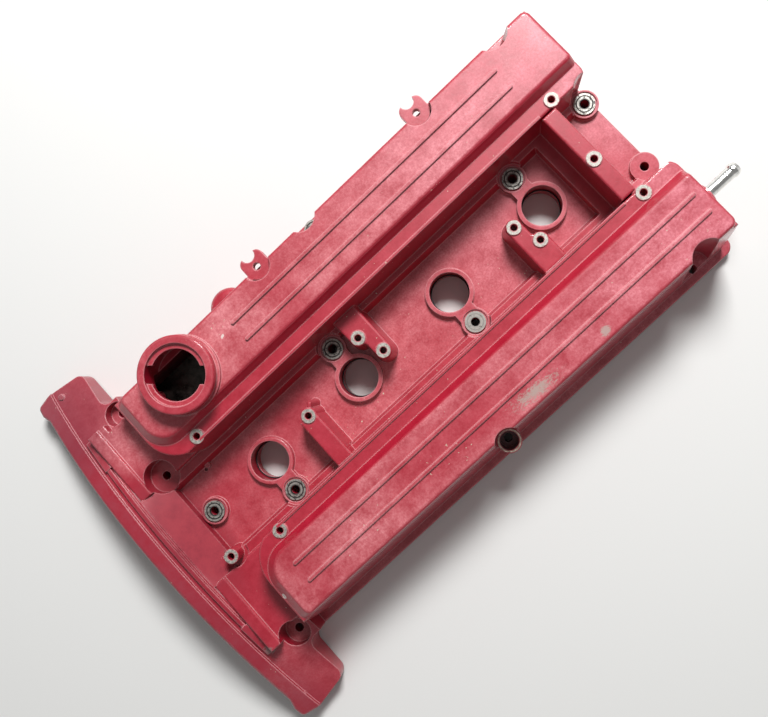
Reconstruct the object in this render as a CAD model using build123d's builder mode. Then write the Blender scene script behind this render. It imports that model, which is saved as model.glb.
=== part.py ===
# Valve cover of a twin-cam four-cylinder engine: one aluminium casting with its seals,
# baffles, washers and breather pipe.
# The origin is the axis of plug well 1 on the sealing plane. +X runs to the rear of the
# engine, +Y to the bank with the oil filler, +Z up. Sizes are in millimetres.
from build123d import *
import math
import os

os.makedirs("parts", exist_ok=True)

# Engine pitch and main heights above the sealing plane
plug_pitch = 93.0
plug_count = 4
rail_height = 8.0
floor_height = 24.0
well_height = 28.5
ledge_height = 35.0
deck_height = 42.0
coil_seat_height = 48.0
shelf_height = 66.0
bank_height = 74.0
wall = 4.0

# Cross-section, as distances from the line of the plug wells
floor_half = 31.5
ledge_edge = 34.0
valley_foot = 38.7
shelf_edge = 41.0
step_foot = 51.2
step_head = 56.5
bank_side = 104.3
skirt_side = 112.5
rail_side = 119.0

# Lengths along the engine
rail_front = -62.0
bank_front = -50.0
crown_front = -41.0
bank_rear = 357.0
rail_rear = 362.5
bank_corner = 29.0
crown_corner = 17.0
shelf_corner = 10.0
bridge_front = 313.0
bridge_length = 12.5
rear_ledge = 9.5

# Plug wells, cover bolts and the pads that they clamp
well_bore = 15.0
well_wall = 3.3
well_tube = 21.0
seal_groove = 18.0
seal_groove_foot = 9.0
seal_groove_width = 5.0
seat_offset = 29.3
seat_web = 16.0
seat_radius = 10.5
seat_recess = 9.2
seat_recess_depth = 1.2
bolt_hole = 3.3
post_radius = 8.0
front_seat = (-58.0, 1.0)
rear_seat = (352.0, 33.0)
rear_ear = (351.0, -30.5)
side_seat_y = 109.0
side_seat_height = 16.0
mid_seat_x = 144.0
mid_notch = 12.0
tube_outer = 9.2
tube_bore = 6.8
tube_height = 47.0
end_seat_x = 327.0
end_notch = 13.3

# Sealing groove in the underside of the rail
groove_side = 114.0
groove_front = -57.0
groove_rear = 357.3
groove_width = 4.0
groove_depth = 3.0
groove_clear = 13.0
land = 6.5

# Arch over the timing belt and the deck behind it
arch_front = -113.5
arch_top = 50.0
arch_radius = 400.0
arch_plate = 4.5
lip_width = 12.5
lip_step = 2.8
lip_round = 2.5
bead_front = -96.5
bead_width = 3.5
bead_half = 78.0
pad_width = 6.0
wing_half = 161.5
wing_rear = -70.5
wing_flare = 3.0
wing_foot = 1.0
wing_corner = 8.0
wing_pads = [(-103.0, -146.5), (-95.0, 153.0)]
wing_pad_radius = 2.4
deck_front = -91.0
deck_inner = 41.5
deck_outer = 99.5
deck_end = 106.0
deck_notch = -75.0
deck_band = 10.5
deck_step = 2.0
channel_front = -69.5
channel_step_height = 33.0
channel_top = 45.0
corner_bolts = [(-71.0, -107.7), (-65.0, 108.0)]
corner_notch = (10.8, 9.5)
corner_seat_height = 20.0
deep_bolt = (-68.0, 46.5)
deep_pocket = 13.0
slot_y = 69.0
slot_length = 12.0
slot_width = 3.0
low_screw = (-64.7, -34.2)
low_pocket = 9.5

# Oil filler neck
neck = (5.2, 83.8)
neck_base = 29.3
neck_base_height = 76.5
neck_radius = 26.6
neck_rim = 28.3
neck_rim_height = 5.5
neck_height = 88.0
neck_foot = 50.0
neck_mouth_depth = 2.6
neck_lip = 18.6
neck_lip_depth = 4.0
neck_bore = 22.4
neck_key_half = 6.5
neck_key_turn = -43.0

# Centre-cover screws, coil platforms, cable clips and breather
edge_round = 1.5
screw_boss = 5.6
screw_hole = 2.5
screw_depth = 14.0
boss_rise = 0.8
cover_screw_x = (-18.5, 327.0)
cover_screw_y = 45.3
bridge_screw = (319.3, -5.2)
coil_boss = 6.2
coil_hole = 2.6
coil_flare = 5.0
coil_far = 35.0
coil_arm = 22.8
coil_near = 15.0
coil_pair = [(-28.8, 0.0), (-21.2, -19.3)]
coil_single = (48.6, 2.6)
coil_single_front = 40.0
coil_single_rear = 54.0
coil_fin = 7.5
coil_fin_width = 3.2
crown_round = 3.0
seal_proud = 1.0
seal_lip = 1.0
seal_gap = 0.5
screw_head = 4.6
screw_head_height = 2.6
washer_radius = 7.9
washer_height = 2.0
dimple = 0.9
dimple_circle = 5.4
clip_horn = 10.8
clip_gap = 5.4
rib_width = 2.6
rib_height = 1.5
shelf_bead = 2.0
nub = (-39.1, 30.7)
nub_radius = 2.2
clip_x = (97.3, 254.2)
clip_y = 104.7
clip_disc = 9.8
clip_thickness = 6.0
clip_top = 68.0
vent_x = 61.0
vent_y = 99.0
vent_radius = 15.5
vent_top = 60.0
vent_round = 6.0
pipe_y = -75.5
pipe_z = 54.0
pipe_radius = 4.5
pipe_bore = 3.3
pipe_reach = 387.0
pipe_root = 351.0
pipe_bead = 5.2

# Baffles under the banks
baffle_inner = 61.0
baffle_outer = 97.0
baffle_front = -36.0
baffle_rear = 344.0
baffle_height = 46.0
baffle_sheet = 1.2
baffle_screw_x = (-26.0, 172.0, 300.0)
baffle_screw_y = (67.0, 90.0)
baffle_hole = 2.5

plug_x = [plug_pitch * number for number in range(plug_count)]
valley_seats = [(plug_x[0], -seat_offset), (plug_x[1], seat_offset),
                (plug_x[2] - 1, -seat_offset), (plug_x[3] - 2, seat_offset)]
side_seats = [(x, side * side_seat_y) for x in (mid_seat_x, end_seat_x) for side in (1, -1)]
end_seats = [front_seat, rear_seat, rear_ear]
cover_screws = [(x, side * cover_screw_y) for x in cover_screw_x for side in (1, -1)]
bridge_rear = bridge_front + bridge_length
ribs = [(1, 57.0, 313.0, 70.0, 85.5), (-1, -24.5, 348.5, 69.4, 84.8)]


def across(points, start, end):
    """A solid with this outline across the engine, from one place along it to another."""
    with BuildPart() as block:
        with BuildSketch(Plane.YZ.offset(start)):
            with BuildLine():
                Polyline(*points, close=True)
            make_face()
        extrude(amount=end - start)
    return block.part


def along(points, start, end):
    """A solid with this side view, from one place across the engine to another."""
    with BuildPart() as block:
        with BuildSketch(Plane.XZ.offset(-start)):
            with BuildLine():
                Polyline(*points, close=True)
            make_face()
        extrude(amount=start - end)
    return block.part


def pillar(places, radius, bottom, top):
    """Upright round columns at these places."""
    with BuildPart() as block:
        with BuildSketch(Plane.XY.offset(bottom)):
            with Locations(*places):
                Circle(radius)
        extrude(amount=top - bottom)
    return block.part


def slab(front, rear, near, far, bottom, top):
    """A plain block between these limits."""
    with BuildPart() as block:
        with BuildSketch(Plane.XY.offset(bottom)):
            with Locations(((front + rear) / 2, (near + far) / 2)):
                Rectangle(rear - front, abs(far - near))
        extrude(amount=top - bottom)
    return block.part


def rounded(block, radius):
    """The same solid with the edges of its top face rounded."""
    with BuildPart() as softened:
        add(block)
        fillet(softened.faces().sort_by(Axis.Z)[-1].edges(), radius=radius)
    return softened.part


def bank_plan(inset, front, inner, outer, corner, rear_corner):
    """One bank seen from above, with its large round corner at the inner front."""
    rear = bank_rear - inset
    with BuildSketch() as plan:
        with BuildLine():
            Polyline((front, inner), (rear, inner), (rear, outer), (front, outer), close=True)
        make_face()
        inner_ends = plan.vertices().group_by(Axis.Y)[0].sort_by(Axis.X)
        fillet(inner_ends[0], radius=corner)
        rear_inner = plan.vertices().group_by(Axis.X)[-1].sort_by(Axis.Y)[0]
        fillet(rear_inner, radius=rear_corner)
        fillet(plan.vertices().group_by(Axis.Y)[-1], radius=6 - inset / 2)
    return plan.sketch


def bank_body(inset, bottom):
    """One bank up to the height of the shelf, or its inside when inset is the wall."""
    top = shelf_height - inset
    section = [(valley_foot + inset, bottom), (valley_foot + inset, ledge_height),
               (shelf_edge + inset, top), (bank_side - inset, top),
               (skirt_side - inset, rail_height), (skirt_side - inset, bottom)]
    with BuildPart() as body:
        with BuildSketch(Plane.XY.offset(bottom)):
            add(bank_plan(inset, bank_front + inset, valley_foot + inset / 2,
                          skirt_side + 1, bank_corner - inset, shelf_corner - inset))
        extrude(amount=top - bottom)
        add(across(section, bank_front - 1, bank_rear + 1), mode=Mode.INTERSECT)
    return body.part


def bank_crown(inset, edge):
    """The raised top of one bank, or its inside when inset is the wall."""
    with BuildPart() as crown:
        with BuildSketch(Plane.XY.offset(shelf_height - inset - 0.5)):
            add(bank_plan(inset, bank_front + 1 + inset, step_foot + inset,
                          bank_side - inset, crown_corner + 5, crown_round + 1))
        with BuildSketch(Plane.XY.offset(bank_height - inset)):
            add(bank_plan(inset + 1.5, crown_front + inset, step_head + inset,
                          bank_side - 1.5 - inset, crown_corner, crown_round + 1))
        loft()
        if edge > 0:
            fillet(crown.faces().sort_by(Axis.Z)[-1].edges(), radius=edge)
    return crown.part


def arch_block(drop, half, foot, start, end):
    """The space below the arch, lowered by drop, from one place along the engine to another."""
    with BuildPart() as block:
        with BuildSketch(Plane.YZ.offset(start)):
            with Locations((0, arch_top - arch_radius)):
                Circle(arch_radius - drop)
            with Locations((0, (foot + arch_top) / 2)):
                Rectangle(2 * half, arch_top - foot, mode=Mode.INTERSECT)
        extrude(amount=end - start)
    return block.part


def arch_level(across_engine):
    """Height of the top of the arch at this distance from the line of the plug wells."""
    return arch_top - arch_radius + math.sqrt(arch_radius ** 2 - across_engine ** 2)


def deck_block(inset, bottom, top):
    """One deck in front of a bank, or its inside; its outer end steps back behind the arch."""
    inner = deck_inner + inset
    outer = deck_outer - inset
    rear = bank_front + bank_corner - inset
    with BuildPart() as block:
        with BuildSketch(Plane.XY.offset(bottom)):
            with BuildLine():
                Polyline((deck_front, inner), (rear, inner), (rear, outer), (deck_notch, outer),
                         (deck_notch, deck_end - inset), (deck_front, deck_end - inset),
                         close=True)
            make_face()
        extrude(amount=top - bottom)
    return block.part


def wing_plan(inset):
    """The arch seen from above; its outer corners are round and flare forwards."""
    tip = arch_front - wing_flare
    with BuildSketch() as plan:
        with BuildLine():
            Polyline((rail_front + 5, 0), (arch_front, 0), (arch_front, wing_half - 19),
                     (tip, wing_half - 11), (tip, wing_half - 2), (tip + 14, wing_half + 1),
                     (wing_rear, wing_half - 5), (wing_rear, rail_side),
                     (rail_front + 5, rail_side), close=True)
        make_face()
        fillet(plan.vertices().sort_by_distance((tip, wing_half - 2))[0], radius=4)
        fillet(plan.vertices().sort_by_distance((wing_rear, wing_half - 5))[0], radius=8)
        fillet(plan.vertices().sort_by_distance((tip + 14, wing_half + 1))[0], radius=14)
        fillet(plan.vertices().sort_by_distance((wing_rear, rail_side))[0], radius=wing_corner)
        mirror(about=Plane.XZ)
        if inset > 0:
            offset(amount=-inset, kind=Kind.INTERSECTION)
    return plan.sketch


def seal_field(grow):
    """The area inside the middle line of the sealing groove, grown or shrunk."""
    places = side_seats + end_seats
    middle = (groove_front + groove_rear) / 2
    with BuildSketch() as field:
        with Locations((middle, 0)):
            RectangleRounded(groove_rear - groove_front, 2 * groove_side, 9)
        with Locations(*places):
            Circle(groove_clear, mode=Mode.SUBTRACT)
        corners = [point for point in field.vertices()
                   if min(abs((Vector(x, y) - point.center()).length - groove_clear)
                          for x, y in places) < 0.05]
        fillet(corners, radius=4)
        if grow != 0:
            offset(amount=grow)
    return field.sketch


def both(part):
    """A part together with its mirror image on the other bank."""
    return part + part.mirror(Plane.XZ)


def coil_pair_plan(grow):
    """Platform for the two screws of a coil, with its plug well at the origin."""
    root = -valley_foot - 1
    with BuildSketch() as plan:
        with BuildLine():
            Polyline((-coil_far, root), (-coil_far, 0), (-coil_arm, 0), (-coil_arm, -12),
                     (-coil_near, -19.3), (-coil_near, root), close=True)
        make_face()
        with Locations(*coil_pair):
            Circle(coil_boss)
        if grow != 0:
            offset(amount=grow)
    return plan.sketch


def coil_single_plan(grow):
    """Platform for the single screw beside plug well 1."""
    root = -valley_foot - 1
    middle = (coil_single_front + coil_single_rear) / 2
    with BuildSketch() as plan:
        with Locations((middle, (root + coil_single[1]) / 2)):
            Rectangle(coil_single_rear - coil_single_front, coil_single[1] - root)
        with Locations(coil_single):
            Circle(coil_boss)
        if grow >= 0:
            with Locations((coil_single[0] + coil_fin / 2, coil_single[1] + coil_fin / 2)):
                SlotCenterToCenter(coil_fin, coil_fin_width, rotation=45)
        if grow != 0:
            offset(amount=grow)
    return plan.sketch


def flared(plan, top, bottom, flare):
    """A platform with this top outline whose walls flare outwards towards the bottom."""
    with BuildPart() as block:
        with BuildSketch(Plane.XY.offset(top)):
            add(plan)
        extrude(amount=bottom - top, taper=-flare)
    return rounded(block.part, edge_round) if flare > 0 else block.part


def coil_blocks(grow, top, bottom, flare):
    """The three coil platforms, or the hollows below them when grow is negative."""
    with BuildPart() as blocks:
        pair_block = flared(coil_pair_plan(grow), top, bottom, flare)
        add(pair_block.moved(Location((plug_x[3], 0, 0))))
        add(pair_block.moved(Location((plug_x[1], 0, 0), (0, 0, 180))))
        add(flared(coil_single_plan(grow), top, bottom, flare))
    return blocks.part


coil_screws = [(plug_x[3] + x, y) for x, y in coil_pair]
coil_screws += [(plug_x[1] - x, -y) for x, y in coil_pair] + [coil_single]
ramp = [(channel_front, 0), (channel_front, channel_step_height),
        (deck_front, channel_top), (deck_front, 0)]

# The rail round the edge, the trough with the plug wells, and the two banks
with BuildPart() as shell:
    with BuildSketch():
        with Locations(((rail_front + rail_rear) / 2, 0)):
            rail = Rectangle(rail_rear - rail_front, 2 * rail_side)
        fillet(rail.vertices().group_by(Axis.X)[-1], radius=8)
    extrude(amount=rail_height)
    fillet(shell.faces().sort_by(Axis.Z)[-1].edges(), radius=edge_round)
    trough = [(floor_half, floor_height), (ledge_edge, ledge_height),
              (deck_inner + 1, ledge_height), (deck_inner + 1, 0)]
    trough += [(-y, z) for y, z in reversed(trough)]
    add(across(trough, channel_front, bank_rear))
    add(both(rounded(bank_body(0, 0), edge_round)))
    add(both(bank_crown(0, crown_round)))

    # Deck in front of the banks, with its raised front band and the ramp between
    add(both(rounded(deck_block(0, 0, deck_height), edge_round)))
    add(both(rounded(slab(deck_front, deck_front + deck_band, deck_inner, deck_end, 0,
                          deck_height + deck_step), edge_round)))
    add(along(ramp, -deck_inner - 1, deck_inner + 1))

    # Arch over the timing belt with its lip, its bead and the pads at the ends of the bead
    with BuildPart(mode=Mode.PRIVATE) as arch:
        with BuildSketch():
            add(wing_plan(0))
        extrude(amount=arch_top)
        add(arch_block(0, wing_half + 5, wing_foot, arch_front - 10, rail_front + 5),
            mode=Mode.INTERSECT)
        crest = arch.faces().filter_by(GeomType.CYLINDER).sort_by(SortBy.AREA)[-1]
        front_edges = [edge for edge in crest.edges()
                       if edge.bounding_box().max.X < arch_front + 2 * lip_width]
        fillet(front_edges, radius=lip_round)
        lowered = arch_block(-1, wing_half + 5, wing_foot, arch_front + lip_width,
                             rail_front + 6)
        lowered -= arch_block(lip_step, wing_half + 6, 0, arch_front, rail_front + 7)
        add(lowered, mode=Mode.SUBTRACT)
        add(slab(deck_front, rail_front + 10, -deck_outer, deck_outer, rail_height, arch_top + 1),
            mode=Mode.SUBTRACT)
        for x, y in wing_pads:
            add(pillar([(x, y)], wing_pad_radius, wing_foot + arch_plate,
                       arch_level(y) - lip_step + edge_round))
    add(arch)
    bead_rear = bead_front + bead_width
    add(arch_block(0.5, bead_half, ledge_height, bead_front, bead_rear))
    pads = arch_block(0, deck_end, rail_height, bead_front - 1, bead_front - 1 + pad_width)
    pads -= slab(bead_front - 2, bead_front + pad_width, -bead_half, bead_half, 0, arch_top + 1)
    add(pads)

    # Bridge behind plug well 4, and the coil platforms
    add(rounded(slab(bridge_front, bridge_rear, -valley_foot - 1, valley_foot + 1, 0,
                     shelf_height), edge_round))
    add(slab(bridge_front - rear_ledge, bridge_front, -valley_foot, valley_foot, 0, ledge_height))
    add(coil_blocks(0, coil_seat_height, floor_height - 1, coil_flare))

    # Rims of the plug wells, webs and pads of the bolt seats
    rim = well_bore + well_wall
    add(rounded(pillar([(x, 0) for x in plug_x], rim, 0, well_height), seal_proud))
    add(pillar(valley_seats + end_seats, seat_radius, 0, well_height))
    add(pillar([low_screw], screw_boss, 0, coil_seat_height))
    for x, y in valley_seats:
        add(slab(x - seat_web / 2, x + seat_web / 2, min(0, y), max(0, y), 0, well_height))

    # Bosses on the outside of the banks
    add(pillar([(mid_seat_x, -side_seat_y)], tube_outer, 0, tube_height))
    with BuildPart(mode=Mode.PRIVATE) as vent:
        with BuildSketch():
            with Locations((vent_x, vent_y)):
                Circle(vent_radius)
        extrude(amount=vent_top)
        fillet(vent.faces().sort_by(Axis.Z)[-1].edges(), radius=vent_round)
    add(vent)
    with BuildPart(mode=Mode.PRIVATE) as neck_side:
        add(pillar([neck], neck_radius, neck_foot, bank_height))
        fillet(neck_side.faces().sort_by(Axis.Z)[0].edges(), radius=vent_round)
    add(neck_side)
    with BuildSketch(Plane.YZ.offset(bank_rear - 3)):
        with Locations((pipe_y, pipe_z)):
            Circle(2 * pipe_radius)
    extrude(amount=6)


# The inside: chambers below the banks, the valley, the deck, the arch and the bridge
chamber_top = deck_height - wall
with BuildPart() as hollow:
    with BuildPart(mode=Mode.PRIVATE) as base:
        with BuildSketch(Plane.XY.offset(-1)):
            add(seal_field(-land))
        extrude(amount=floor_height - wall + 1)
        for side in (1, -1):
            add(slab(rail_front, bank_front + wall, side * (deck_inner + 1), side * rail_side,
                     -2, floor_height), mode=Mode.SUBTRACT)
    add(base)
    add(both(bank_body(wall, -1)))
    add(both(bank_crown(wall, 0)))
    add(both(slab(rail_front + 2 * wall, bank_front + 2 * wall, deck_inner + wall,
                  deck_outer - wall, rail_height, chamber_top)))
    add(coil_blocks(-wall, coil_seat_height - wall, -1, 0))
    add(slab(bridge_front + wall, bridge_rear - wall, -valley_foot, valley_foot, -1,
             shelf_height - wall))

    # In front of the sealing wall, open towards the timing belt
    with BuildPart(mode=Mode.PRIVATE) as belt_space:
        with BuildSketch(Plane.XY.offset(-1)):
            add(wing_plan(arch_plate))
            add(wing_plan(arch_plate).moved(Location((-2 * arch_plate, 0, 0))))
        extrude(amount=arch_top)
        add(arch_block(lip_step + arch_plate, wing_half + 5, -2, arch_front - 20, rail_front + 5),
            mode=Mode.INTERSECT)
        add(slab(deck_front - 2, rail_front + 10, -deck_outer - wall, deck_outer + wall, -2,
                 arch_top + 1), mode=Mode.SUBTRACT)
    add(belt_space)
    add(both(slab(deck_front - 3, rail_front, deck_inner + wall, deck_outer - wall, -1,
                  chamber_top)))
    step_back = channel_front - wall
    low_ramp = [(rail_front, -1), (rail_front, floor_height - wall)]
    low_ramp += [(step_back, floor_height - wall), (step_back, channel_step_height - wall - 1)]
    low_ramp += [(deck_front, channel_top - wall - 2), (deck_front - 3, channel_top - wall - 2)]
    low_ramp += [(deck_front - 3, -1)]
    add(along(low_ramp, -deck_inner, deck_inner))

# Metal that stays standing inside: well tubes, bolt pillars and screw bosses
with BuildPart() as pillars:
    add(pillar([(x, 0) for x in plug_x], well_tube, -1, well_height))
    add(pillar(valley_seats + end_seats, post_radius, -1, well_height))
    add(pillar(valley_seats, seat_radius + wall, floor_height, shelf_height))
    add(pillar([rear_seat, rear_ear], seat_radius + 1 + wall, -1, shelf_height))
    add(pillar([(mid_seat_x, side_seat_y)], mid_notch + wall, -1, bank_height + 1))
    add(pillar([(mid_seat_x, -side_seat_y)], tube_bore + wall, -1, bank_height + 1))
    add(pillar([(end_seat_x, side_seat_y), (end_seat_x, -side_seat_y)], end_notch + wall, -1,
               bank_height + 1))
    add(pillar(cover_screws, screw_boss, shelf_height - screw_depth - wall, shelf_height))
    add(pillar([bridge_screw], screw_boss, shelf_height - screw_depth - wall, shelf_height))
    add(pillar(coil_screws, screw_boss, coil_seat_height - screw_depth - wall, coil_seat_height))
    add(pillar([low_screw], screw_boss, coil_seat_height - screw_depth - wall, deck_height))
    add(pillar([deep_bolt], deep_pocket + wall, -1, deck_height))
    for place, notch in zip(corner_bolts, corner_notch):
        add(pillar([place], notch + wall, -1, deck_height))
    places = [(x, side * y) for x in baffle_screw_x for y in baffle_screw_y for side in (1, -1)]
    add(pillar(places, 2 * baffle_hole, baffle_height + baffle_sheet, bank_height))

with BuildPart() as casting:
    add(shell)
    add(hollow.part - pillars.part, mode=Mode.SUBTRACT)

    # Oil filler neck on its pad, and the ribs, beads and raised rings on the banks
    with BuildPart(mode=Mode.PRIVATE) as filler:
        add(pillar([neck], neck_radius, bank_height - wall, neck_height))
        add(pillar([neck], neck_base, bank_height - wall, neck_base_height))
        add(pillar([neck], neck_rim, neck_height - neck_rim_height, neck_height))
        round_edges = filler.edges().filter_by(GeomType.CIRCLE).group_by(Axis.Z)
        fillet(round_edges[-1], radius=edge_round)
    add(filler)
    for side, front, rear, near, far in ribs:
        for y in (near, far):
            with BuildSketch(Plane.XY.offset(bank_height - 1)):
                with Locations(((front + rear) / 2, side * y)):
                    SlotOverall(rear - front, rib_width)
            extrude(amount=1 + rib_height)
    for side in (1, -1):
        edge = side * (shelf_edge + shelf_bead / 2)
        with BuildSketch(Plane.XY.offset(shelf_height - 1)):
            with Locations(((cover_screw_x[0] + bridge_front) / 2, edge)):
                Rectangle(bridge_front - cover_screw_x[0], shelf_bead)
        extrude(amount=1 + shelf_bead / 2)
    add(pillar(cover_screws + [bridge_screw], screw_boss, shelf_height - 1,
               shelf_height + boss_rise))
    add(pillar(coil_screws, screw_boss, coil_seat_height - 1, coil_seat_height + boss_rise))

    # Cable clips: a fork that points outwards, with a recess above it in the bank
    for x in clip_x:
        add(pillar([(x, clip_y)], clip_disc + 1.2, clip_top, bank_height + 1), mode=Mode.SUBTRACT)
        with BuildSketch(Plane.XY.offset(clip_top - clip_thickness)):
            with Locations((x, clip_y)):
                Circle(clip_disc)
            with Locations((x, clip_y + clip_horn / 2)):
                horns = Rectangle(2 * clip_disc, clip_horn)
            fillet(horns.vertices().group_by(Axis.Y)[-1], radius=clip_gap)
            with Locations((x, clip_y + clip_horn)):
                Circle(clip_gap, mode=Mode.SUBTRACT)
        extrude(amount=clip_thickness)
        add(pillar([(x, clip_y)], screw_hole + 0.3, clip_top - clip_thickness, clip_top),
            mode=Mode.SUBTRACT)

    # Plug wells with their seal grooves
    wells = [(x, 0) for x in plug_x]
    add(pillar(wells, well_bore, -1, well_height + 1), mode=Mode.SUBTRACT)
    add(pillar(wells, seal_groove, seal_groove_foot, seal_groove_foot + seal_groove_width),
        mode=Mode.SUBTRACT)

    # Bolt seats: room for the bolt heads, a recess for the washer and the bolt hole
    seat_top = well_height
    add(pillar(valley_seats + [front_seat], seat_radius + 1, seat_top, shelf_height + 2),
        mode=Mode.SUBTRACT)
    add(pillar([rear_seat, rear_ear], seat_radius + 1, seat_top, bank_height + 1),
        mode=Mode.SUBTRACT)
    add(pillar([(mid_seat_x, side_seat_y)], mid_notch, side_seat_height, bank_height + 1),
        mode=Mode.SUBTRACT)
    add(pillar([(mid_seat_x, -side_seat_y)], tube_bore, side_seat_height, bank_height + 1),
        mode=Mode.SUBTRACT)
    add(pillar([(mid_seat_x, -side_seat_y)], tube_outer + 1.5, tube_height, bank_height + 1),
        mode=Mode.SUBTRACT)
    add(both(pillar([(end_seat_x, side_seat_y)], end_notch, side_seat_height, bank_height + 1)),
        mode=Mode.SUBTRACT)
    for place, notch in zip(corner_bolts, corner_notch):
        add(pillar([place], notch, corner_seat_height, arch_top + 1), mode=Mode.SUBTRACT)
    add(pillar([deep_bolt], deep_pocket, well_height, shelf_height), mode=Mode.SUBTRACT)
    add(pillar(valley_seats + [front_seat, rear_seat], seat_recess, seat_top - seat_recess_depth,
               seat_top), mode=Mode.SUBTRACT)
    add(pillar([(mid_seat_x, side_seat_y)], seat_recess, side_seat_height - seat_recess_depth,
               side_seat_height), mode=Mode.SUBTRACT)
    bolts = side_seats + end_seats + valley_seats + corner_bolts + [deep_bolt]
    add(pillar(bolts, bolt_hole, -1, seat_top + 1), mode=Mode.SUBTRACT)

    # Low screw boss in its pocket beside the ramp
    add(pillar([low_screw], low_pocket, channel_step_height, arch_top) -
        pillar([low_screw], screw_boss, rail_height, arch_top), mode=Mode.SUBTRACT)

    # Threaded screw holes, the neck's bore with its two keyways, and the sealing groove
    holes = cover_screws + [bridge_screw]
    add(pillar(holes, screw_hole, shelf_height - screw_depth, shelf_height + 2),
        mode=Mode.SUBTRACT)
    add(pillar(coil_screws, screw_hole, coil_seat_height - screw_depth, coil_seat_height + 2),
        mode=Mode.SUBTRACT)
    add(pillar([low_screw], screw_hole, coil_seat_height - screw_depth, coil_seat_height + 2),
        mode=Mode.SUBTRACT)
    add(pillar(places, baffle_hole, baffle_height, baffle_height + screw_depth),
        mode=Mode.SUBTRACT)
    lip_top = neck_height - neck_mouth_depth
    add(pillar([neck], neck_bore, lip_top, neck_height + 1), mode=Mode.SUBTRACT)
    add(pillar([neck], neck_lip, shelf_height - wall, neck_height + 1), mode=Mode.SUBTRACT)
    add(pillar([neck], neck_bore, shelf_height - wall, lip_top - neck_lip_depth),
        mode=Mode.SUBTRACT)
    with BuildSketch(Plane.XY.offset(lip_top - neck_lip_depth - 1)):
        with Locations(neck):
            Circle(neck_bore)
            Rectangle(3 * neck_bore, 2 * neck_key_half, rotation=neck_key_turn,
                      mode=Mode.INTERSECT)
    extrude(amount=neck_lip_depth + 2, mode=Mode.SUBTRACT)
    groove = extrude(seal_field(groove_width / 2) - seal_field(-groove_width / 2),
                     amount=groove_depth)
    add(groove, mode=Mode.SUBTRACT)

    # Breather hole, and the nub and drain hole near plug well 1
    with BuildSketch(Plane.YZ.offset(pipe_root)):
        with Locations((pipe_y, pipe_z)):
            Circle(pipe_radius)
    extrude(amount=bank_rear + 10 - pipe_root, mode=Mode.SUBTRACT)
    for side in (1, -1):
        with BuildSketch(Plane.XY.offset(deck_height - edge_round)):
            with Locations((bank_front - slot_width / 2 + 1, side * slot_y)):
                SlotOverall(slot_length, slot_width, rotation=90)
        extrude(amount=2 * edge_round, mode=Mode.SUBTRACT)
    add(pillar([nub], nub_radius, floor_height - 1, floor_height + 3))
    add(pillar([(nub[0] - 4, nub[1] - 1.2)], 1.3, floor_height - 3, floor_height + 1),
        mode=Mode.SUBTRACT)
    casting.part.label = "cover_casting"
export_step(casting.part, "parts/cover_casting.step")

# Breather pipe, pressed into the rear of the bank, with a bead for its hose
with BuildPart() as breather_pipe:
    with BuildSketch(Plane.XZ.offset(-pipe_y)):
        with BuildLine():
            Polyline((pipe_root, pipe_z + pipe_bore), (pipe_root, pipe_z + pipe_radius),
                     (pipe_reach - 6, pipe_z + pipe_radius), (pipe_reach - 4.5, pipe_z + pipe_bead),
                     (pipe_reach - 2.5, pipe_z + pipe_bead), (pipe_reach, pipe_z + pipe_radius - 0.4),
                     (pipe_reach, pipe_z + pipe_bore), close=True)
        make_face()
    revolve(axis=Axis((0, pipe_y, pipe_z), (1, 0, 0)))
    breather_pipe.part.label = "breather_pipe"
export_step(breather_pipe.part, "parts/breather_pipe.step")

# Rubber seal in the groove of the rail
with BuildPart() as rail_seal:
    with BuildSketch(Plane.XY.offset(-seal_proud)):
        add(seal_field(groove_width / 2) - seal_field(-groove_width / 2))
    extrude(amount=groove_depth + seal_proud)
    rail_seal.part.label = "rail_seal"
export_step(rail_seal.part, "parts/rail_seal.step")

# Rubber seals in the plug wells, each with a thin lip for the plug tube
seal_top = seal_groove_foot + seal_groove_width
for number, x in enumerate(plug_x):
    with BuildPart() as plug_seal:
        with BuildSketch(Plane.XZ):
            with BuildLine():
                Polyline((well_bore + seal_gap, seal_groove_foot), (seal_groove, seal_groove_foot),
                         (seal_groove, seal_top), (well_bore, seal_top),
                         (well_bore - seal_gap, seal_top + seal_lip),
                         (well_bore - seal_lip, seal_top + seal_lip),
                         (well_bore - seal_lip, seal_top), (well_bore + seal_gap, seal_top - 2),
                         close=True)
            make_face()
        revolve(axis=Axis.Z)
    plug_seal.part.label = f"plug_seal_{number + 1}"
    export_step(plug_seal.part.moved(Location((x, 0, 0))), f"parts/plug_seal_{number + 1}.step")

# Sheet-steel baffles under the banks and their screws
for side, name in ((1, "left"), (-1, "right")):
    with BuildPart() as baffle:
        with BuildSketch(Plane.XY.offset(baffle_height)):
            with Locations(((baffle_front + baffle_rear) / 2,
                            side * (baffle_inner + baffle_outer) / 2)):
                RectangleRounded(baffle_rear - baffle_front, baffle_outer - baffle_inner, 8)
            with Locations(*side_seats):
                Circle(end_notch + wall + 1, mode=Mode.SUBTRACT)
            with Locations(*[(x, side * y) for x in baffle_screw_x for y in baffle_screw_y]):
                Circle(baffle_hole, mode=Mode.SUBTRACT)
        extrude(amount=baffle_sheet)
    baffle.part.label = f"baffle_{name}"
    export_step(baffle.part, f"parts/baffle_{name}.step")

for number, (x, y) in enumerate(places):
    with BuildPart() as baffle_screw:
        add(pillar([(x, y)], screw_head, baffle_height - screw_head_height, baffle_height))
        chamfer(baffle_screw.faces().sort_by(Axis.Z)[0].edges(), length=0.8)
        add(pillar([(x, y)], baffle_hole - 0.1, baffle_height - 1, baffle_height + 11))
    baffle_screw.part.label = f"baffle_screw_{number + 1}"
    export_step(baffle_screw.part, f"parts/baffle_screw_{number + 1}.step")

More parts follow.
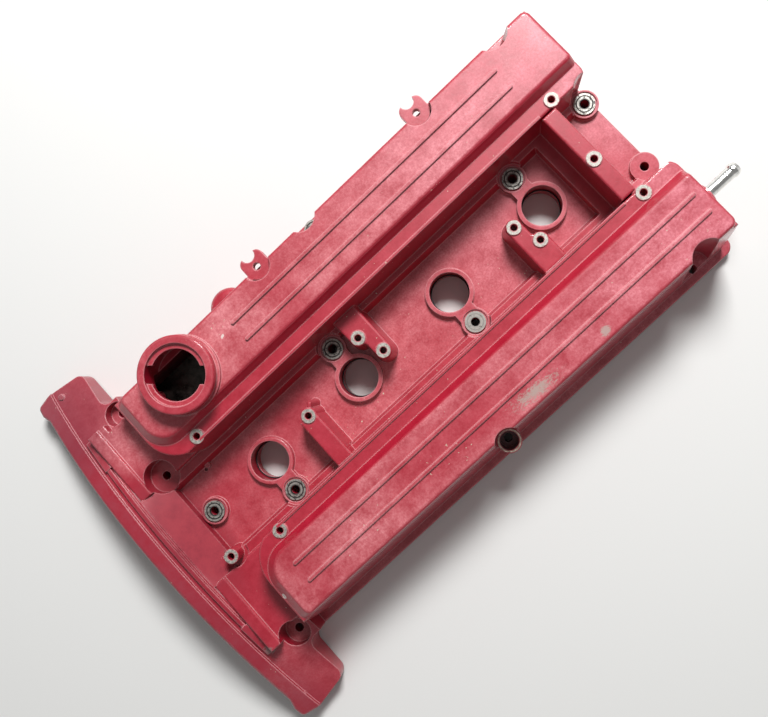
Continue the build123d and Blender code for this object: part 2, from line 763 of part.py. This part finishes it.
# Seat washers: flat steel discs with four dimples; they lie in the recesses of the seats
washer_floor = well_height - seat_recess_depth
washers = [(x, y, washer_floor) for x, y in [front_seat] + valley_seats + [rear_seat]]
washers.append((mid_seat_x, side_seat_y, side_seat_height - seat_recess_depth))
for number, (x, y, z) in enumerate(washers):
    with BuildPart() as seat_washer:
        with BuildSketch(Plane.XY.offset(z)):
            with Locations((x, y)):
                Circle(washer_radius)
                Circle(bolt_hole, mode=Mode.SUBTRACT)
        extrude(amount=washer_height)
        with BuildSketch(Plane.XY.offset(z + washer_height)):
            with Locations((x, y)):
                with PolarLocations(dimple_circle, 4):
                    Circle(dimple)
        extrude(amount=-0.5, mode=Mode.SUBTRACT)
    seat_washer.part.label = f"seat_washer_{number + 1}"
    export_step(seat_washer.part, f"parts/seat_washer_{number + 1}.step")
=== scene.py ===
# Looks of the valve cover: crimson paint on cast aluminium, machined rings, steel washers.
import math
import random
import bmesh
import bpy
from mathutils import Matrix, Vector


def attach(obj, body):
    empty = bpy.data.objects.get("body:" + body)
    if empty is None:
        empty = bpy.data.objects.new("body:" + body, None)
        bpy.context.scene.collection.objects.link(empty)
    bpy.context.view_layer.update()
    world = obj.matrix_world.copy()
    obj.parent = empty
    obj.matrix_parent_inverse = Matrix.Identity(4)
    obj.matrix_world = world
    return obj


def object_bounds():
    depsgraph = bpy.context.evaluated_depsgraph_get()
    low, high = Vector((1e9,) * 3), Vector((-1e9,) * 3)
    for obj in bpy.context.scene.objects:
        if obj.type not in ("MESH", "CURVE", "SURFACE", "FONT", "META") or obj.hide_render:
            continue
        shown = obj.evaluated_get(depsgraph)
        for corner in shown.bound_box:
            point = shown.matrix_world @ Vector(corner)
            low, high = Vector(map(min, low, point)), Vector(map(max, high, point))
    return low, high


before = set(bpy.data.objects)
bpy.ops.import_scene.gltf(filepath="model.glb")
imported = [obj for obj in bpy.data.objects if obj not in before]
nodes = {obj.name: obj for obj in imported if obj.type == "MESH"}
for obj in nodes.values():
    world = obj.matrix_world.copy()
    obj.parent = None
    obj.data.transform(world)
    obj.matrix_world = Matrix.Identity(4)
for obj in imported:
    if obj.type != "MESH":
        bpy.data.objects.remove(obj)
cad_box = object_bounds()
MM = 0.001
COVER_MIDDLE = (0.15, 0.0, 0.04)

# Millimetres on the part between which the paint's wear, its painted sheen and its painted dark
# reflection change
CROWN_SHOULDER = (67.2, 69.0)
NECK_FOOT = (78.0, 81.0)
REAR_PLATFORM = (325.0, 335.0)
TROUGH_DEPTH = (36.0, 30.0)
FRONT_ARCH = (-85.0, -105.0)
PAINTED_SHEEN_REAR = (150.0, 360.0)

# Rings of bare metal: segments, seed of their ragged edge, and heights of the faced bosses
RING_STEPS, RING_SEED = 40, 7
COVER, COIL, FRONT_BOSS = 66.8, 48.8, 48.0

# Camera: its lens and sensor in millimetres, its place, and its right, its up and its back
LENS, SENSOR = 39.85, 36
CAMERA_PLACE = (0.1626, -0.0670, 0.6610)
CAMERA_AXES = ((0.7273, -0.6755, -0.1216), (0.6825, 0.7304, 0.0247), (0.0721, -0.1010, 0.9923))

# Oil on a washer: the ring where the bolt's head sat, its half width, and the hole's edge
OIL_RING, OIL_RING_HALF = 6.0, 0.5
HOLE_EDGE = (4.6, 3.6)
# Washers that took little oil, counted in the order of the nodes' names
CLEAN_WASHERS = (4,)

# Where the paint is scraped: centre, half sizes, turn in degrees, how much of it is gone and
# what shows there
SCRAPES = (((181, -94.5), (46, 13), -5, 0.36, "#a4958c"),
           ((79, -83), (75, 16), -6, 0.14, "#8d5a52"),
           ((243, -96.4), (8, 6), 20, 0.5, "#a9938c"),
           # This near-white spot is a bare metal nub, tinted near white as a painted highlight
           ((-47.4, -81.5), (2.2, 3), 0, 0.9, "#e6dcd6"),
           ((-93.4, -104), (9, 7), 0, 0.5, "#8c6f6d"),
           ((46, 83.7), (3, 1.6), 30, 0.6, "#d8cdc6"))


def linear(hex_colour):
    """An sRGB hex colour as the linear colour that Blender's sockets hold."""
    parts = [int(hex_colour[i:i + 2], 16) / 255 for i in (1, 3, 5)]
    return [c / 12.92 if c <= 0.04045 else ((c + 0.055) / 1.055) ** 2.4 for c in parts] + [1.0]


def add(tree, kind, links=None, **settings):
    """Adds a node; links gives each input a value or another node's output."""
    made = tree.nodes.new(kind)
    for name, value in settings.items():
        setattr(made, name, value)
    for name, value in (links or {}).items():
        if isinstance(value, bpy.types.NodeSocket):
            tree.links.new(value, made.inputs[name])
        else:
            made.inputs[name].default_value = value
    return made


def new_material(name):
    """An empty node material with its output; returns the material and its tree."""
    material = bpy.data.materials.new(name)
    material.use_nodes = True
    material.node_tree.nodes.clear()
    return material, material.node_tree


def per_mm(size):
    """Noise scale whose features are about this many millimetres across."""
    return 1 / (size * MM)


def spot(tree, place, centre, half, turn=0.0):
    """A mask that is 1 at a point of the part and fades to 0 at these half sizes."""
    shift = Matrix.Rotation(math.radians(-turn), 3, "Z") @ Vector((centre[0], centre[1], 0)) * MM
    turned = add(tree, "ShaderNodeMapping", {"Vector": place,
                                             "Rotation": (0, 0, math.radians(-turn))})
    moved = add(tree, "ShaderNodeVectorMath", {0: turned.outputs["Vector"],
                                               1: (shift[0], shift[1], 0)}, operation="SUBTRACT")
    scale = (1 / (half[0] * MM), 1 / (half[1] * MM), 0)
    sized = add(tree, "ShaderNodeVectorMath", {0: moved.outputs["Vector"], 1: scale},
                operation="MULTIPLY")
    return add(tree, "ShaderNodeTexGradient", {"Vector": sized.outputs["Vector"]},
               gradient_type="SPHERICAL").outputs["Fac"]


def math_node(tree, operation, first, second):
    """One sum or product of two values."""
    return add(tree, "ShaderNodeMath", {0: first, 1: second}, operation=operation).outputs[0]


def stepped(tree, value, low, high, to_low=0.0, to_high=1.0):
    """A value spread from one range over another."""
    return add(tree, "ShaderNodeMapRange", {"Value": value, "From Min": low, "From Max": high,
                                            "To Min": to_low, "To Max": to_high}).outputs["Result"]


def band(tree, value, limits, to_low=0.0, to_high=1.0):
    """A length spread from a band given in millimetres over another range."""
    return stepped(tree, value, limits[0] * MM, limits[1] * MM, to_low, to_high)


def mixed(tree, factor, first, second):
    """Two colours mixed by a mask."""
    return add(tree, "ShaderNodeMix", {"Factor": factor, "A": first, "B": second},
               data_type="RGBA").outputs["Result"]


def noise(tree, place, size, detail=3.0, roughness=0.6):
    """Irregular blotches about this many millimetres across."""
    return add(tree, "ShaderNodeTexNoise", {"Vector": place, "Scale": per_mm(size),
                                            "Detail": detail, "Roughness": roughness}
               ).outputs["Fac"]


def crimson_paint():
    """Sprayed semi-gloss enamel on sand-cast aluminium: the sand's grain shows through the
    paint; what faces up carries a pale pink layer, partly paint thinned by handling and
    partly a painted sheen that grows paler towards the rear; edges are lighter, partly from
    wear and partly as a painted highlight; the front and one wing are darkened as a painted
    dark reflection and the front channel as painted shade; and the right bank is scraped to
    the primer in a few places."""
    material, tree = new_material("crimson_paint")
    place = add(tree, "ShaderNodeTexCoord").outputs["Object"]
    geometry = add(tree, "ShaderNodeNewGeometry")
    soft = add(tree, "ShaderNodeBevel", {"Radius": 1.5 * MM}, samples=4).outputs["Normal"]
    turned = add(tree, "ShaderNodeVectorMath", {0: soft, 1: geometry.outputs["Normal"]},
                 operation="DOT_PRODUCT").outputs["Value"]
    up = add(tree, "ShaderNodeSeparateXYZ", {"Vector": geometry.outputs["Normal"]}).outputs["Z"]
    spread = add(tree, "ShaderNodeSeparateXYZ", {"Vector": place})
    along, height = spread.outputs["X"], spread.outputs["Z"]
    grain = noise(tree, place, 1.5)
    mottle = noise(tree, place, 13, 9.0, 0.82)
    broad = noise(tree, place, 70, 3.0)

    coat = mixed(tree, stepped(tree, mottle, 0.3, 0.7), linear("#960822"), linear("#b01331"))
    # Where what faces up gets a pale pink layer: partly paint thinned by handling, partly a
    # painted sheen, strongest on the crowns, the rear platform and the trough
    crowns = band(tree, height, CROWN_SHOULDER, 0.1, 0.95)
    crowns = math_node(tree, "MULTIPLY", crowns, band(tree, height, NECK_FOOT, 1.0, 0.35))
    platform = band(tree, along, REAR_PLATFORM, 0.0, 0.9)
    trough = band(tree, height, TROUGH_DEPTH, 0.0, 0.62)
    wear_and_sheen_places = math_node(tree, "MAXIMUM", math_node(tree, "MAXIMUM", crowns, platform), trough)
    corner = spot(tree, place, (-70, 92), (34, 44))
    wear_and_sheen_places = math_node(tree, "MAXIMUM", wear_and_sheen_places, stepped(tree, corner, 0.0, 0.5))
    wiped = spot(tree, place, (112, -80), (85, 30))
    wear_and_sheen_places = math_node(tree, "MULTIPLY", wear_and_sheen_places, stepped(tree, wiped, 0.1, 0.7, 1.0, 0.3))
    rubbed_and_sheen = math_node(tree, "MULTIPLY", stepped(tree, up, 0.85, 1.0),
                       stepped(tree, mottle, 0.36, 0.66, 0.25, 1.0))
    rubbed_and_sheen = math_node(tree, "MULTIPLY", rubbed_and_sheen, stepped(tree, grain, 0.38, 0.62, 0.7, 1.15))
    rubbed_and_sheen = math_node(tree, "MULTIPLY", rubbed_and_sheen, wear_and_sheen_places)
    rubbed_and_sheen = math_node(tree, "MULTIPLY", rubbed_and_sheen, stepped(tree, broad, 0.36, 0.6, 0.35, 1.0))
    # The layer is paler towards the rear: painted sheen
    film_and_sheen = mixed(tree, band(tree, along, PAINTED_SHEEN_REAR), linear("#d9878c"), linear("#e08894"))
    coat = mixed(tree, rubbed_and_sheen, coat, film_and_sheen)
    # Darker, duskier paint on the front arch and on one wing: a painted dark reflection of the
    # surroundings on their sloping faces
    front = math_node(tree, "MULTIPLY", band(tree, along, FRONT_ARCH),
                      stepped(tree, mottle, 0.35, 0.65, 0.1, 0.45))
    coat = mixed(tree, front, coat, linear("#6d3340"))
    wing = stepped(tree, spot(tree, place, (-100, 130), (60, 60)), 0.1, 0.6, 0.0, 0.45)
    coat = mixed(tree, wing, coat, linear("#6b2a38"))
    # Lighter pink along the edges found by the bevel: partly wear of the paint, partly a painted
    # highlight
    coat = mixed(tree, stepped(tree, turned, 0.99, 0.86, 0.0, 0.6), coat, linear("#e8acb0"))
    # Darker paint on the front channel's ramp: painted shade
    channel = stepped(tree, spot(tree, place, (-80, 0), (26, 75)), 0.1, 0.5)
    coat = mixed(tree, math_node(tree, "MULTIPLY", channel, stepped(tree, mottle, 0.4, 0.6,
                                                                    0.3, 0.8)),
                 coat, linear("#7d1226"))

    strokes = add(tree, "ShaderNodeMapping", {"Vector": place, "Rotation": (0, 0, 0.6),
                                              "Scale": (1.0, 2.2, 1.0)}).outputs["Vector"]
    ragged = noise(tree, strokes, 3.2, 9.0, 0.88)
    bare = None
    for centre, half, turn, cover, colour in SCRAPES:
        edge = spot(tree, place, centre, half, turn)
        torn = math_node(tree, "ADD", math_node(tree, "MULTIPLY", edge, cover), ragged)
        torn = stepped(tree, torn, 0.72, 0.8)
        torn = math_node(tree, "MULTIPLY", torn, stepped(tree, edge, 0.0, 0.3, 0.0, 0.85))
        coat = mixed(tree, torn, coat, linear(colour))
        bare = torn if bare is None else math_node(tree, "MAXIMUM", bare, torn)
    chips = stepped(tree, noise(tree, place, 2.2, 2.0, 0.4), 0.735, 0.75)
    chips = math_node(tree, "MULTIPLY", chips, stepped(tree, broad, 0.52, 0.6))
    coat = mixed(tree, chips, coat, linear("#c9b7a4"))

    rough = add(tree, "ShaderNodeMix", {"Factor": bare,
                                        "A": stepped(tree, mottle, 0.3, 0.7, 0.36, 0.52),
                                        "B": 0.6}).outputs["Result"]
    rough = math_node(tree, "ADD", rough, math_node(tree, "MULTIPLY", channel, 0.3))
    swell = add(tree, "ShaderNodeBump", {"Height": mottle, "Strength": 0.35,
                                         "Distance": 0.3 * MM, "Normal": soft})
    bump = add(tree, "ShaderNodeBump", {"Height": grain, "Strength": 0.5,
                                        "Distance": 0.14 * MM, "Normal": swell.outputs["Normal"]})
    shader = add(tree, "ShaderNodeBsdfPrincipled",
                 {"Base Color": coat, "Roughness": rough, "IOR": 1.5, "Coat Weight": 0.6,
                  "Coat Roughness": 0.12, "Normal": bump.outputs["Normal"]})
    add(tree, "ShaderNodeOutputMaterial", {"Surface": shader.outputs["BSDF"]})
    return material


def bare_metal(name, light, dark, low, high, grain_mm, metallic=1.0):
    """Metal without paint, turned or rolled: its tint and gloss vary in fine specks. A low
    metallic value stands for the dull white oxide that aluminium grows."""
    material, tree = new_material(name)
    place = add(tree, "ShaderNodeTexCoord").outputs["Object"]
    grain = noise(tree, place, grain_mm, 4.0)
    tint = mixed(tree, stepped(tree, grain, 0.3, 0.7), linear(dark), linear(light))
    rough = stepped(tree, grain, 0.3, 0.7, low, high)
    bump = add(tree, "ShaderNodeBump", {"Height": grain, "Strength": 0.2, "Distance": 0.05 * MM})
    shader = add(tree, "ShaderNodeBsdfPrincipled",
                 {"Base Color": tint, "Metallic": metallic, "Roughness": rough,
                  "Normal": bump.outputs["Normal"]})
    add(tree, "ShaderNodeOutputMaterial", {"Surface": shader.outputs["BSDF"]})
    return material


def zinc_washer(name, centre, grime):
    """Zinc-plated steel that a bolt head has pressed: a dull band where the head sat, with
    old oil in a ring inside it and round the hole."""
    material, tree = new_material(name)
    place = add(tree, "ShaderNodeTexCoord").outputs["Object"]
    flat = add(tree, "ShaderNodeVectorMath", {0: place, 1: (1, 1, 0)}, operation="MULTIPLY")
    reach = add(tree, "ShaderNodeVectorMath",
                {0: flat.outputs["Vector"], 1: (centre[0] * MM, centre[1] * MM, 0)},
                operation="DISTANCE").outputs["Value"]
    ring = add(tree, "ShaderNodeMath", {0: reach, 1: OIL_RING * MM, 2: OIL_RING_HALF * MM},
               operation="COMPARE").outputs[0]
    hub = band(tree, reach, HOLE_EDGE)
    blot = noise(tree, place, 2.0, 5.0, 0.7)
    dirty = math_node(tree, "MAXIMUM", math_node(tree, "MAXIMUM", ring, hub),
                      stepped(tree, blot, 0.5, 0.62))
    dirty = math_node(tree, "MULTIPLY", dirty, grime)
    tint = mixed(tree, dirty, linear("#aaa7a0"), linear("#2a2726"))
    rough = stepped(tree, dirty, 0.0, 1.0, 0.42, 0.6)
    shader = add(tree, "ShaderNodeBsdfPrincipled",
                 {"Base Color": tint, "Metallic": 0.6, "Roughness": rough})
    add(tree, "ShaderNodeOutputMaterial", {"Surface": shader.outputs["BSDF"]})
    return material


def nitrile_rubber():
    """Moulded nitrile rubber: black and matt, with a faint bloom."""
    material, tree = new_material("nitrile_rubber")
    place = add(tree, "ShaderNodeTexCoord").outputs["Object"]
    bloom = noise(tree, place, 6, 4.0)
    tint = mixed(tree, bloom, linear("#17171a"), linear("#2b2b2e"))
    bump = add(tree, "ShaderNodeBump", {"Height": bloom, "Strength": 0.15, "Distance": 0.1 * MM})
    shader = add(tree, "ShaderNodeBsdfPrincipled",
                 {"Base Color": tint, "Roughness": 0.6, "IOR": 1.52,
                  "Normal": bump.outputs["Normal"]})
    add(tree, "ShaderNodeOutputMaterial", {"Surface": shader.outputs["BSDF"]})
    return material


def ring_mesh(name, rings, inner, outer, rise):
    """Thin flat rings with a small countersink; their outer edge is as uneven as a facing cut
    through paint leaves it."""
    random.seed(RING_SEED)
    shape = bmesh.new()
    steps = RING_STEPS
    for x, y, z in rings:
        loops = []
        wave = [random.uniform(-0.35, 0.2) for _ in range(steps)]
        for radius, height, uneven in ((inner, -0.6, 0), (inner + 0.5, rise, 0),
                                       (outer, rise, 1), (outer + 0.15, -0.2, 1)):
            loop = []
            for step in range(steps):
                angle = 2 * math.pi * step / steps
                ragged = (wave[step] + wave[step - 1]) / 2 * uneven
                far = radius + ragged
                loop.append(shape.verts.new(((x + far * math.cos(angle)) * MM,
                                             (y + far * math.sin(angle)) * MM,
                                             (z + height) * MM)))
            loops.append(loop)
        for low, high in zip(loops, loops[1:]):
            for step in range(steps):
                shape.faces.new((low[step - 1], low[step], high[step], high[step - 1]))
    bmesh.ops.recalc_face_normals(shape, faces=shape.faces)
    mesh = bpy.data.meshes.new(name)
    shape.to_mesh(mesh)
    shape.free()
    piece = bpy.data.objects.new(name, mesh)
    bpy.context.scene.collection.objects.link(piece)
    return piece


def plain_floor():
    """A pale matt floor under the seal of the rail; far off it is as pale as the backdrop, to
    the camera alone."""
    mesh = bpy.data.meshes.new("floor")
    shape = bmesh.new()
    bmesh.ops.create_grid(shape, x_segments=2, y_segments=2, size=6.0)
    shape.to_mesh(mesh)
    shape.free()
    floor = bpy.data.objects.new("floor", mesh)
    bpy.context.scene.collection.objects.link(floor)
    floor.location = (0.15, 0, cad_box[0][2] - 0.1 * MM)
    material, tree = new_material("pale_floor")
    rays = add(tree, "ShaderNodeLightPath")
    away = add(tree, "ShaderNodeTexCoord").outputs["Object"]
    away = add(tree, "ShaderNodeVectorMath", {0: away}, operation="LENGTH").outputs["Value"]
    glow = math_node(tree, "MULTIPLY", rays.outputs["Is Camera Ray"],
                     stepped(tree, away, 0.7, 2.6, 0.0, 0.7))
    shader = add(tree, "ShaderNodeBsdfPrincipled",
                 {"Base Color": linear("#dcdcda"), "Roughness": 0.8,
                  "Emission Color": (1, 1, 1, 1), "Emission Strength": glow})
    add(tree, "ShaderNodeOutputMaterial", {"Surface": shader.outputs["BSDF"]})
    mesh.materials.append(material)
    return floor


def soft_lamp(name, place, target, size, watts):
    """A square soft box that shines from one place towards another."""
    lamp = bpy.data.lights.new(name, "AREA")
    lamp.size = size
    lamp.energy = watts
    holder = bpy.data.objects.new(name, lamp)
    holder.location = place
    direction = Vector(target) - Vector(place)
    holder.rotation_euler = direction.to_track_quat("-Z", "Y").to_euler()
    bpy.context.scene.collection.objects.link(holder)


def pale_studio(fill, backdrop):
    """Even white fill light; the camera, metal and rubber see a paler wall near the horizon."""
    world = bpy.data.worlds.new("studio")
    world.use_nodes = True
    tree = world.node_tree
    tree.nodes.clear()
    rays = add(tree, "ShaderNodeLightPath")
    seen = math_node(tree, "MAXIMUM", rays.outputs["Is Camera Ray"], rays.outputs["Is Glossy Ray"])
    seen = math_node(tree, "MAXIMUM", seen, rays.outputs["Is Transmission Ray"])
    upward = add(tree, "ShaderNodeTexCoord").outputs["Generated"]
    upward = add(tree, "ShaderNodeSeparateXYZ", {"Vector": upward}).outputs["Z"]
    wall = math_node(tree, "MULTIPLY", seen, stepped(tree, upward, 0.5, 0.2))
    strength = stepped(tree, wall, 0.0, 1.0, fill, backdrop)
    light = add(tree, "ShaderNodeBackground", {"Color": (1, 1, 1, 1), "Strength": strength})
    add(tree, "ShaderNodeOutputWorld", {"Surface": light.outputs["Background"]})
    return world


paint = crimson_paint()
machined = bare_metal("machined_aluminium", "#c8c4bc", "#827d75", 0.45, 0.6, 1.1, 0.5)
polished = bare_metal("polished_pipe", "#f4f3ef", "#d8d7d3", 0.14, 0.24, 2.5)
oily_steel = bare_metal("oily_baffle_steel", "#4a4743", "#262422", 0.25, 0.4, 4.0)
rubber = nitrile_rubber()

washer_number = 0
for name, node in sorted(nodes.items()):
    if name == "cover_casting":
        finish = paint
    elif name == "breather_pipe":
        finish = polished
    elif "seal" in name:
        finish = rubber
    elif name.startswith("baffle"):
        finish = oily_steel
    else:
        corners = [node.matrix_world @ Vector(corner) for corner in node.bound_box]
        middle = sum(corners, Vector()) / 8 / MM
        washer_number += 1
        grime = 0.35 if washer_number in CLEAN_WASHERS else 0.95
        finish = zinc_washer(f"zinc_washer_{washer_number}", middle, grime)
    for slot in node.material_slots:
        slot.material = finish


# Bosses that were faced after painting: the cover's, the bridge's, the coils' and the front one
faced = [(x, y, COVER) for x in (-18.5, 327.0) for y in (-45.3, 45.3)]
faced += [(319.3, -5.2, COVER), (250.2, 0.0, COIL), (257.8, -19.3, COIL), (121.8, 0.0, COIL),
          (114.2, 19.3, COIL), (48.6, 2.6, COIL), (-64.7, -34.2, FRONT_BOSS)]
bright = ring_mesh("machined_rings", faced, 2.5, 5.3, 0.1)
bright.data.materials.append(machined)
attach(bright, "root")

# The mid bolt's tube has lost the paint on its rim; the bare metal there is tinted near white and
# kept little metallic so that it looks lit in the bank's shadow: a painted highlight
tube_rim = ring_mesh("chipped_tube_rim_with_highlight", [(144.0, -109.0, 47.0)], 6.9, 8.5, 0.12)
rim_metal_with_highlight = bare_metal("chipped_rim_painted_highlight", "#fff3e0", "#8f7c68", 0.5, 0.7, 2.0, 0.2)
tube_rim.data.materials.append(rim_metal_with_highlight)
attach(tube_rim, "root")


plain_floor()
soft_lamp("key", place=(0.98, 0.74, 1.42), target=COVER_MIDDLE, size=0.5, watts=44)


bpy.context.scene.world = pale_studio(fill=0.25, backdrop=0.8)
bpy.context.scene.view_settings.view_transform = "Standard"

# Camera above the cover, turned as in the photograph
camera = bpy.data.cameras.new("camera")
camera.sensor_width = SENSOR
camera.lens = LENS
camera.clip_start = 0.01
shot = bpy.data.objects.new("camera", camera)
facing = Matrix(CAMERA_AXES).transposed().to_4x4()
shot.matrix_world = Matrix.Translation(CAMERA_PLACE) @ facing
bpy.context.scene.collection.objects.link(shot)
bpy.context.scene.camera = shot
